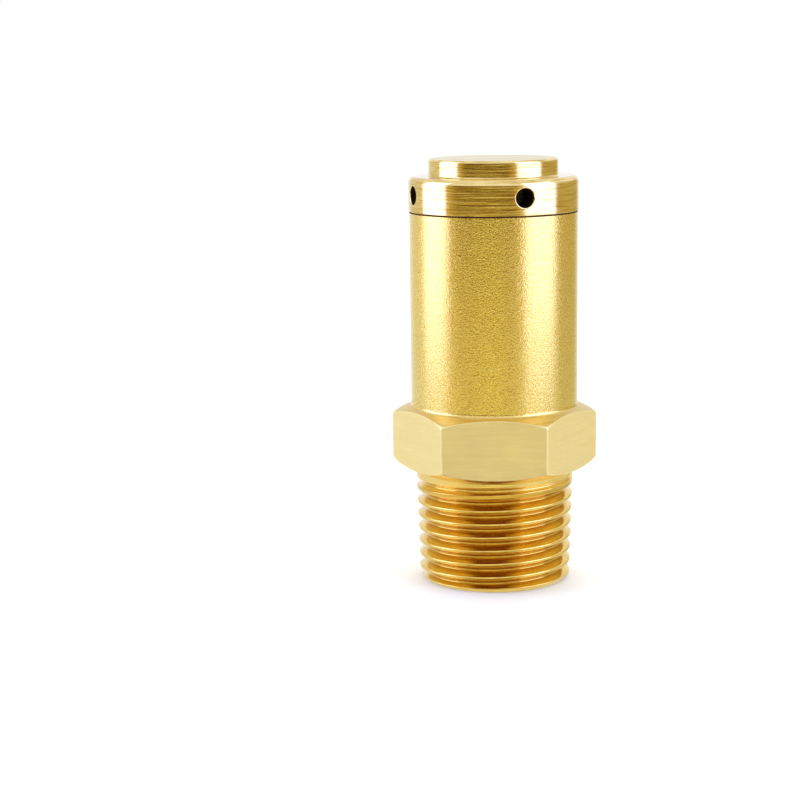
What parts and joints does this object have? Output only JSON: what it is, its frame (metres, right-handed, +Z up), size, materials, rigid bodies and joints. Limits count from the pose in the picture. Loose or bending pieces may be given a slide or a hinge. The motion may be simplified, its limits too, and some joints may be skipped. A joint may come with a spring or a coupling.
{
  "type": "automatic air vent",
  "caption": "Straight brass automatic air vent: tapered male pipe thread, hexagon, round float barrel and a stepped cap with radial vent holes.",
  "frame": {"origin": "centre of the open threaded end's face, the lowest point of the part", "axes": "+Z up along the vent's axis, from the threaded end towards the cap; -Y is the outward normal of one wrench flat; the lever swings in the XZ plane with its pivot pin on the -X side"},
  "size_m": [0.0276, 0.024, 0.057],
  "materials": {
    "brass_body": "fine satin on the barrel, milled hexagon flats, bright cut thread",
    "brass_cap": "bright turned",
    "brass_jet": "bright turned",
    "black_plastic": "moulded, fine grain",
    "seal_rubber": "moulded EPDM",
    "stainless": "drawn or stamped stainless steel",
    "float_plastic": "moulded natural polypropylene",
    "cellulose_fibre": "pressed cellulose fibre"
  },
  "bodies": {
    "vent": {"valve_body": "brass_body", "vent_cap": "brass_cap", "seat_carrier": "black_plastic", "carrier_o_ring": "seal_rubber", "orifice_jet": "brass_jet", "jet_o_ring": "seal_rubber", "closing_spring": "stainless", "lever_pivot_pin": "stainless", "strainer_disc": "stainless", "strainer_snap_ring": "stainless", "hygroscopic_disc_1": "cellulose_fibre", "hygroscopic_disc_2": "cellulose_fibre", "hygroscopic_disc_3": "cellulose_fibre", "hygroscopic_disc_4": "cellulose_fibre"},
    "float": {"float_cup": "float_plastic", "float_lid": "float_plastic", "float_hanger": "stainless"},
    "lever": {"lever": "stainless"},
    "plug": {"valve_plug": "stainless", "plug_pad": "seal_rubber", "stem_clip": "stainless"}
  },
  "joints": [
    {"name": "float_slide", "type": "slide", "parent": "vent", "child": "float", "axis": [0, 0, 1], "range_m": [0, 0.00211]},
    {"name": "lever_swing", "type": "hinge", "parent": "vent", "child": "lever", "pos_m": [-0.005, 0, 0.0349], "axis": [0, -1, 0], "range_deg": [0, 11.55]},
    {"name": "plug_slide", "type": "slide", "parent": "vent", "child": "plug", "axis": [0, 0, 1], "range_m": [0, 0.00101], "deforming": ["closing_spring"]}
  ],
  "couplings": [
    {"joint": "lever_swing", "follows": "float_slide", "rad_per_m": 95.578},
    {"joint": "plug_slide", "follows": "float_slide", "ratio": 0.47619}
  ]
}
